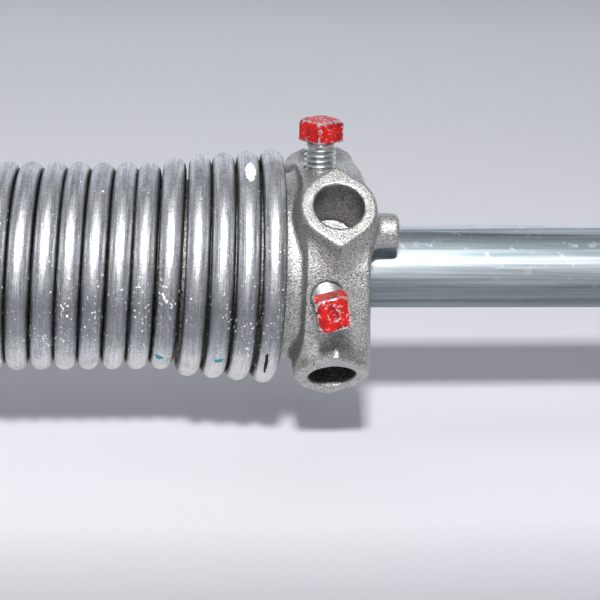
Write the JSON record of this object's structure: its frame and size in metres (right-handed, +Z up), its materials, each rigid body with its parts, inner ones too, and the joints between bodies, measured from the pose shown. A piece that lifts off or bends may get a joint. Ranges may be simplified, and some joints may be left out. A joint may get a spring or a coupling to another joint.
{
  "type": "garage door torsion spring",
  "caption": "Close-wound overhead door torsion spring on its tube, between a cast winding cone with square-head set screws and a stationary cone with a ball bearing.",
  "frame": {"origin": "on the tube's axis, in the stationary cone's mounting face", "axes": "+X along the tube from the mounting face to the winding cone; +Z up, along the standing set screw; -Y towards the front set screw"},
  "size_m": [0.6286, 0.0818, 0.1064],
  "materials": {
    "spring_wire": "galvanised, bright drawn",
    "cast_alloy": "rough die casting",
    "red_paint": "chipped paint over zinc plate",
    "galvanised_tube": "galvanised, drawn",
    "bearing_steel": "ground",
    "ball_steel": "polished",
    "cage_steel": "pressed, zinc plated"
  },
  "bodies": {
    "anchored": {"stationary_cone": "cast_alloy", "bearing_outer_race": "bearing_steel", "torsion_spring": "spring_wire"},
    "shaft": {"torsion_tube": "galvanised_tube", "winding_cone": "cast_alloy", "set_screw_top": "red_paint", "set_screw_front": "red_paint", "bearing_inner_race": "bearing_steel"},
    "bearing_cage": {"bearing_balls": "ball_steel", "ball_cage": "cage_steel"}
  },
  "joints": [
    {"name": "shaft_turn", "type": "hinge", "parent": "anchored", "child": "shaft", "pos_m": [0, 0, 0], "axis": [-1, 0, 0], "range_deg": [0, 1170], "stiffness_Nm_per_rad": 2.14, "deforming": ["torsion_spring"]},
    {"name": "cage_turn", "type": "hinge", "parent": "anchored", "child": "bearing_cage", "pos_m": [0, 0, 0], "axis": [-1, 0, 0], "range_deg": [0, 481]}
  ],
  "couplings": [
    {"joint": "cage_turn", "follows": "shaft_turn", "ratio": 0.40993}
  ]
}
